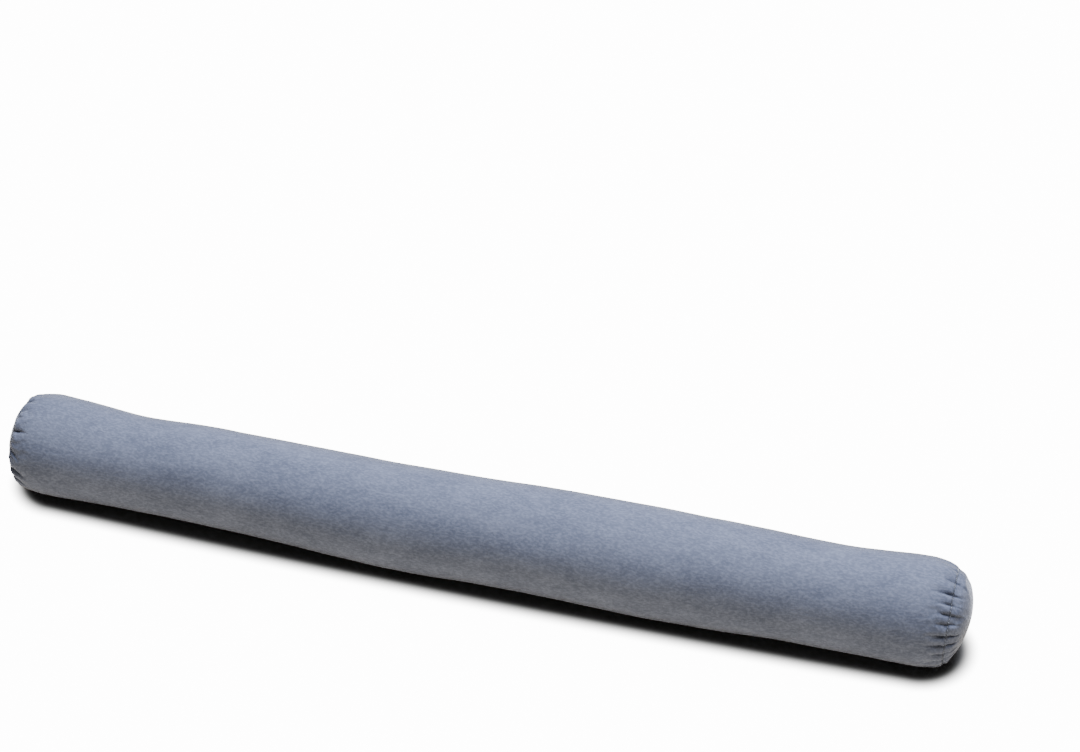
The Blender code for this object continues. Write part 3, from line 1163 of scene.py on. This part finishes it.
def distance_group(bow):
    """How far a place on the floor is from the bolster's bowed middle line."""
    tree = bpy.data.node_groups.new("Distance from the bolster", "ShaderNodeTree")
    tree.interface.new_socket("Place", in_out="INPUT", socket_type="NodeSocketVector")
    tree.interface.new_socket("Half Length", in_out="INPUT", socket_type="NodeSocketFloat")
    tree.interface.new_socket("Distance", in_out="OUTPUT", socket_type="NodeSocketFloat")
    given = new_node(tree, "NodeGroupInput", 0)
    parts = new_node(tree, "ShaderNodeSeparateXYZ", 1)
    sloped = math_node(tree, 2, "MULTIPLY_ADD", None, bow[0], bow[1])
    bowed = math_node(tree, 3, "MULTIPLY_ADD", None, None, bow[2])
    across = math_node(tree, 4, "SUBTRACT")
    along = math_node(tree, 2, "ABSOLUTE")
    past = math_node(tree, 3, "SUBTRACT")
    past_end = math_node(tree, 4, "MAXIMUM", None, 0.0)
    both = new_node(tree, "ShaderNodeCombineXYZ", 5)
    length = new_node(tree, "ShaderNodeVectorMath", 6, operation="LENGTH")
    result = new_node(tree, "NodeGroupOutput", 7)
    wire(
        tree,
        (given, "Place", parts, "Vector"),
        (parts, "X", sloped, 0),
        (sloped, 0, bowed, 0),
        (parts, "X", bowed, 1),
        (parts, "Y", across, 0),
        (bowed, 0, across, 1),
        (parts, "X", along, 0),
        (along, 0, past, 0),
        (given, "Half Length", past, 1),
        (past, 0, past_end, 0),
        (past_end, 0, both, "X"),
        (across, 0, both, "Y"),
        (both, "Vector", length, 0),
        (length, "Value", result, "Distance"),
    )
    return tree


def floor_with_painted_shadow(name, bow):
    """White that glows for the camera, with a painted shadow where the glow fades close to the bolster.
    """
    material = bpy.data.materials.new(name)
    material.use_nodes = True
    tree = material.node_tree
    tree.nodes.clear()
    coordinates = new_node(tree, "ShaderNodeTexCoord", -2)
    away = placed_group(tree, distance_group(bow), -1, Half_Length=SHADE_HALF_LENGTH)
    fade = range_node(tree, 0, SHADE_FROM, SHADE_TO)
    slow = math_node(tree, 1, "POWER", None, SHADE_DEPTH)
    strength = math_node(tree, 2, "MULTIPLY", None, GLOW)
    glow = new_node(tree, "ShaderNodeEmission", 3)
    shadow_grey = new_node(tree, "ShaderNodeBsdfDiffuse", 3)
    set_values(shadow_grey, Color=PAINTED_SHADOW_GREY)
    seen = new_node(tree, "ShaderNodeAddShader", 4)
    bounced = new_node(tree, "ShaderNodeBsdfDiffuse", 4)
    set_values(bounced, Color=BOUNCE_COLOUR)
    ray = new_node(tree, "ShaderNodeLightPath", 4)
    either = new_node(tree, "ShaderNodeMixShader", 5)
    result = new_node(tree, "ShaderNodeOutputMaterial", 6)
    wire(
        tree,
        (coordinates, "Object", away, "Place"),
        (away, "Distance", fade, "Value"),
        (fade, "Result", slow, 0),
        (slow, 0, strength, 0),
        (strength, 0, glow, "Strength"),
        (glow, "Emission", seen, 0),
        (shadow_grey, "BSDF", seen, 1),
        (ray, "Is Camera Ray", either, "Fac"),
        (bounced, "BSDF", either, 1),
        (seen, "Shader", either, 2),
        (either, "Shader", result, "Surface"),
    )
    return material


floor_mesh = bpy.data.meshes.new("floor")
half = FLOOR_SIZE / 2
corners = [(-half, -half), (half, -half), (half, half), (-half, half)]
floor_mesh.from_pydata([(x, y, -FLOOR_GAP) for x, y in corners], [], [(0, 1, 2, 3)])
floor = bpy.data.objects.new("floor", floor_mesh)
bpy.context.scene.collection.objects.link(floor)
bow = np.polyfit(sections[:, 0], sections[:, 1], 2)
floor_mesh.materials.append(floor_with_painted_shadow("white floor with painted shadow", [float(value) for value in bow]))

# %% Set the camera
CAMERA_AT = (0.4658, -1.4465, 1.4978)
LOOKS_LEFT = math.radians(15.54)
LOOKS_DOWN = math.radians(40.0)
LENS = 77.31

camera_data = bpy.data.cameras.new("camera")
camera_data.sensor_width = 36.0
camera_data.lens = LENS
camera = bpy.data.objects.new("camera", camera_data)
camera.location = CAMERA_AT
looks = Vector(
    (
        -math.sin(LOOKS_LEFT) * math.cos(LOOKS_DOWN),
        math.cos(LOOKS_LEFT) * math.cos(LOOKS_DOWN),
        -math.sin(LOOKS_DOWN),
    )
)
camera.rotation_euler = looks.to_track_quat("-Z", "Y").to_euler()
bpy.context.scene.collection.objects.link(camera)
bpy.context.scene.camera = camera

# %% [markdown]
# ## Light
# One large soft light hangs overhead and a little behind, which leaves the bolster's top pale
# and lets its front fall away. It is slightly cool, and what the floor throws back is slightly
# warm, so the cloth looks bluer on top than underneath.

# %% Hang the light
def soft_light(name, place, target, size, power, colour):
    """A square area light that points at the target."""
    data = bpy.data.lights.new(name, "AREA")
    data.color = colour
    data.size = size
    data.energy = power
    light = bpy.data.objects.new(name, data)
    light.location = place
    light.rotation_euler = (Vector(target) - Vector(place)).to_track_quat("-Z", "Y").to_euler()
    bpy.context.scene.collection.objects.link(light)
    return light


COOL_WHITE = (0.88, 0.93, 1.08)
WARM_WHITE = (1.0, 0.95, 0.88, 1.0)

overhead = soft_light(
    "overhead softbox",
    place=(0.1, 0.6, 1.8),
    target=(0.0, 0.0, 0.0),
    size=1.4,
    power=88.0,
    colour=COOL_WHITE,
)
world = bpy.data.worlds.new("studio")
world.use_nodes = True
set_values(world.node_tree.nodes["Background"], Color=WARM_WHITE, Strength=0.1)
bpy.context.scene.world = world
print("light:", overhead.name)
